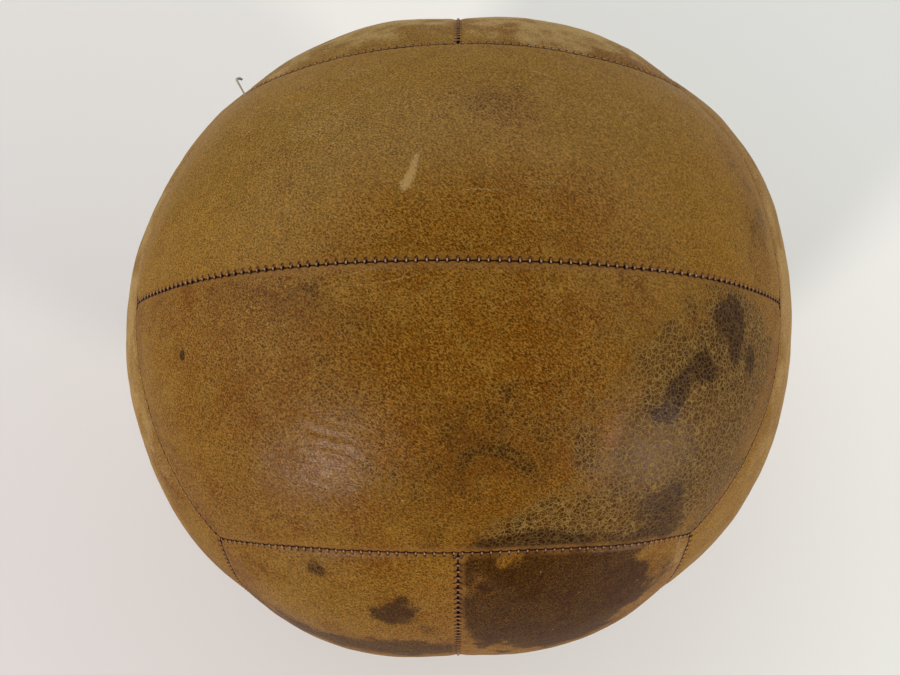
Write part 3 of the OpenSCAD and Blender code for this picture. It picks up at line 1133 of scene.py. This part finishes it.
def packed_hair():
    """Dark hair with paler strands."""
    t = Tree("packed hair")
    at = t.millimetres()
    strands = t.math("MAXIMUM", ridges(t, at, 5.0, 0.04, 4.0), ridges(t, at, 2.2, 0.05, 3.0))
    clump = t.noise(at, 20, 4.0)
    colour = t.mix(t.times(strands, t.smooth(clump, 0.2, 0.7)), paint(34, 22, 14), paint(104, 78, 54))
    return t.finish(Base_Color=colour, Roughness=0.65, Normal=t.bump(strands, 0.001, 0.8))


def plain_floor():
    """A pale floor with painted light: a little brighter to the right and the rear."""
    t = Tree("pale floor")
    at = t.millimetres()
    x, y, _ = t.split(at)
    # painted light: the floor's colour brightens towards the right and towards the rear
    across = t.smooth(x, -320, 320)
    colour = t.mix(across, paint(208, 207, 205), paint(218, 223, 219))
    light = t.smooth(t.add(t.times(x, 0.4), y), -320, 320)
    colour = t.mix(t.times(light, 0.5), colour, paint(244, 246, 240))
    return t.finish(Base_Color=colour, Roughness=0.85, Specular_IOR_Level=0.2)


# ---- Camera, lights and floor ----

# Focal length and shifts are shares of the picture's width, and the distance from the centre is in radii.
SENSOR = 36
FOCAL_SHARE = 0.75222
SHIFT_X = -0.00889
SHIFT_Y = 0.00056
CAMERA_DISTANCE = 2.28
CAMERA_TILT = math.radians(8.6)


def aim(obj, place, target, up=(0, 1, 0)):
    """Puts an object somewhere and points its -Z axis at the target, with up towards the top."""
    back = (Vector(place) - Vector(target)).normalized()
    right = Vector(up).cross(back).normalized()
    above = back.cross(right)
    rotation = Matrix((right, above, back)).transposed().to_4x4()
    obj.matrix_world = Matrix.Translation(place) @ rotation


def make_camera():
    """Looks down on the ball from a little in front of straight above it."""
    data = bpy.data.cameras.new("camera")
    data.sensor_width = SENSOR
    data.lens = SENSOR * FOCAL_SHARE
    data.clip_start = 0.01
    data.clip_end = 50
    data.shift_x = SHIFT_X
    data.shift_y = SHIFT_Y
    camera = bpy.data.objects.new("camera", data)
    bpy.context.scene.collection.objects.link(camera)
    centre = Vector((0, 0, CENTRE_H * MM))
    off = Vector((0, -math.sin(CAMERA_TILT), math.cos(CAMERA_TILT))) * CAMERA_DISTANCE * RADIUS * MM
    aim(camera, centre + off, centre)
    bpy.context.scene.camera = camera


# Two lamps in front of the ball, to its left and right: name, place, diameter and power.
LAMPS = [
    ("left lamp", (-1.75, -2.05, 1.4), 0.5, 50),
    ("right lamp", (2.35, -1.75, 0.8), 0.45, 54),
]
LAMP_COLOUR = (1.0, 0.86, 0.8)


def make_light(name, place, size, power):
    """A round lamp that faces the ball."""
    data = bpy.data.lights.new(name, "AREA")
    data.shape = "DISK"
    data.size = size
    data.energy = power
    data.color = LAMP_COLOUR
    light = bpy.data.objects.new(name, data)
    bpy.context.scene.collection.objects.link(light)
    aim(light, place, (0, 0, CENTRE_H * MM), up=(0.1, 0.9, 0.4))


# The room is brightest half way up, dim straight above, and brighter behind the ball than in front of it.
ROOM_LIGHT = 1.4
BRIGHTNESS_BY_HEIGHT = [(0.0, 0.35), (0.3, 0.8), (0.45, 1.0), (0.62, 1.0), (0.8, 0.3), (0.95, 0.05)]
BRIGHT_SIDE = (-0.35, 0.94, 0.0)
SIDE_BIAS = 0.9


def make_world():
    """The room's soft light, by height and by side."""
    world = bpy.data.worlds.new("studio")
    bpy.context.scene.world = world
    world.use_nodes = True
    tree = world.node_tree
    background = tree.nodes["Background"]
    toward = tree.nodes.new("ShaderNodeTexCoord").outputs["Generated"]
    split = tree.nodes.new("ShaderNodeSeparateXYZ")
    tree.links.new(toward, split.inputs[0])
    ramp = tree.nodes.new("ShaderNodeValToRGB")
    ramp.color_ramp.interpolation = "EASE"
    for k, (height, level) in enumerate(BRIGHTNESS_BY_HEIGHT):
        stop = ramp.color_ramp.elements[k] if k < 2 else ramp.color_ramp.elements.new(height)
        stop.position = height
        stop.color = (level, level, level, 1)
    tree.links.new(split.outputs["Z"], ramp.inputs[0])
    side = tree.nodes.new("ShaderNodeVectorMath")
    side.operation = "DOT_PRODUCT"
    side.inputs[1].default_value = BRIGHT_SIDE
    tree.links.new(toward, side.inputs[0])
    bias = tree.nodes.new("ShaderNodeMath")
    bias.operation = "MULTIPLY_ADD"
    bias.inputs[1].default_value = SIDE_BIAS * ROOM_LIGHT
    bias.inputs[2].default_value = ROOM_LIGHT
    tree.links.new(side.outputs["Value"], bias.inputs[0])
    strength = tree.nodes.new("ShaderNodeMath")
    strength.operation = "MULTIPLY"
    tree.links.new(ramp.outputs["Color"], strength.inputs[0])
    tree.links.new(bias.outputs[0], strength.inputs[1])
    tree.links.new(strength.outputs[0], background.inputs["Strength"])
    background.inputs["Color"].default_value = (0.98, 0.98, 1.0, 1)


FLOOR_SIZE = 6.0


def make_floor():
    """A plain floor, which isn't part of the ball."""
    mesh = bpy.data.meshes.new("floor")
    half = FLOOR_SIZE / 2
    corners = [(-half, -half, 0), (half, -half, 0), (half, half, 0), (-half, half, 0)]
    mesh.from_pydata(corners, [], [(0, 1, 2, 3)])
    floor = bpy.data.objects.new("floor", mesh)
    bpy.context.scene.collection.objects.link(floor)
    floor.data.materials.append(plain_floor())
    floor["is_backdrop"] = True


def fit(piece, material, node):
    """Gives a piece its material and its place in the frame."""
    piece.data.materials.append(material)
    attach(piece, "root")
    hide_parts(node)
    return piece


def main():
    """Sets the stage and puts every piece in its place."""
    make_camera()
    make_world()
    for lamp in LAMPS:
        make_light(*lamp)
    make_floor()
    bpy.context.scene.view_settings.view_transform = "Standard"

    skin = leather()
    for index, name in enumerate(PANELS):
        fit(build_panel(name, index), skin, name)

    waxed = waxed_thread()
    for index, name in enumerate(SEAMS):
        fit(build_stitching(name, index), waxed, name)
    bare = bare_thread()
    fit(build_loose_end(), bare, "loose_thread_end")
    cloth = linen()
    fit(build_bag_half(1), cloth, "linen_bag_right")
    fit(build_bag_half(-1), cloth, "linen_bag_left")
    fit(build_bag_thread(), bare, "linen_bag_thread")
    stuffing = fit(build_stuffing(), packed_hair(), "hair_stuffing")


main()
